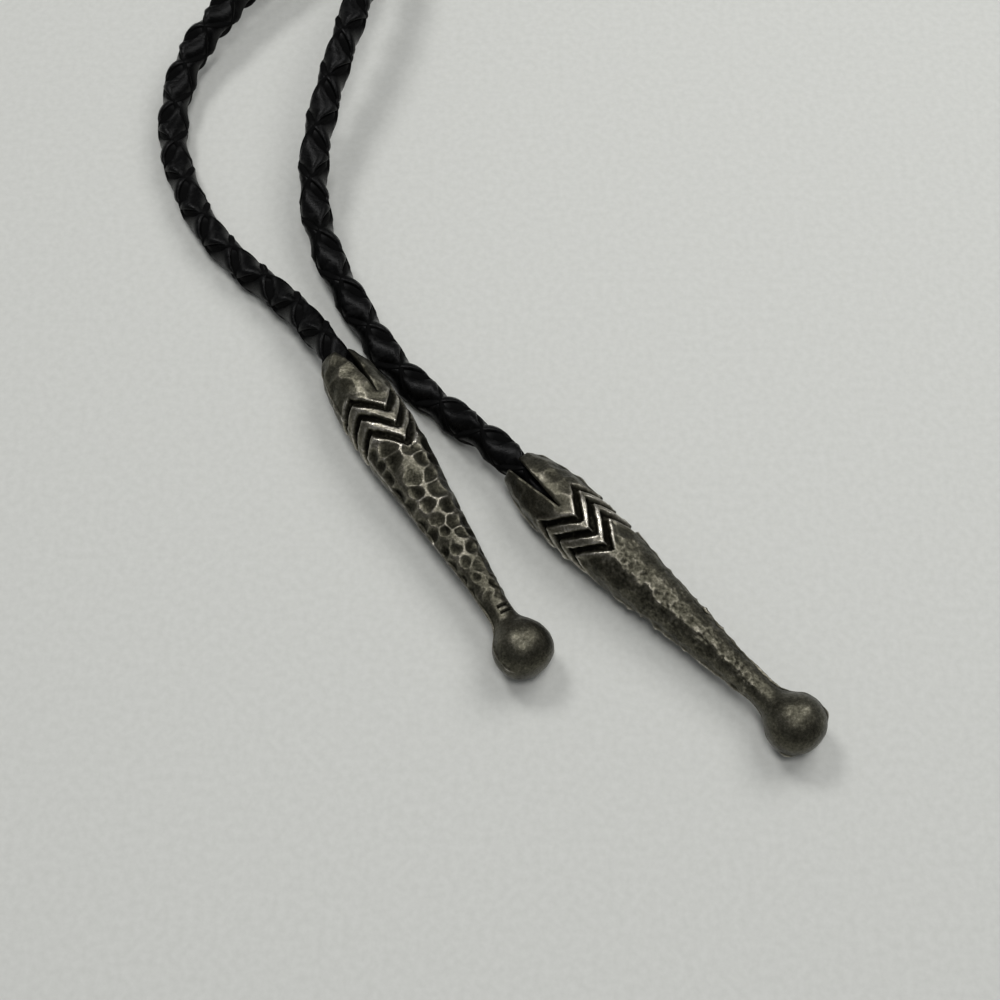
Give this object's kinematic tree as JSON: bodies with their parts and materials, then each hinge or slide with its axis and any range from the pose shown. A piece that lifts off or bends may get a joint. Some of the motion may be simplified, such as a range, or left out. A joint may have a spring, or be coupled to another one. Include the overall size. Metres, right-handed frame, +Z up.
{
  "type": "bolo tie",
  "caption": "Bolo tie laid flat: braided leather cord with grooved, hammered pewter tips, run through a plain oval slide into an open neck loop.",
  "frame": {"origin": "centre of the slide's flat back, on the surface that the tie lies on", "axes": "+Y from the tips towards the back of the neck loop, +X to the right as seen from above with the tips nearest, +Z up from the surface"},
  "size_m": [0.149, 0.4539, 0.0148],
  "materials": {
    "leather": "black four-strand round braid, soft sheen",
    "pewter": "cast pewter, hammered and antiqued dark, worn bright on the ridges"
  },
  "bodies": {
    "root": {"slide": "pewter", "tip_left": "pewter", "tip_right": "pewter", "cord_tail_left": "leather", "cord_tail_right": "leather", "cord_neck": "leather"}
  },
  "joints": []
}
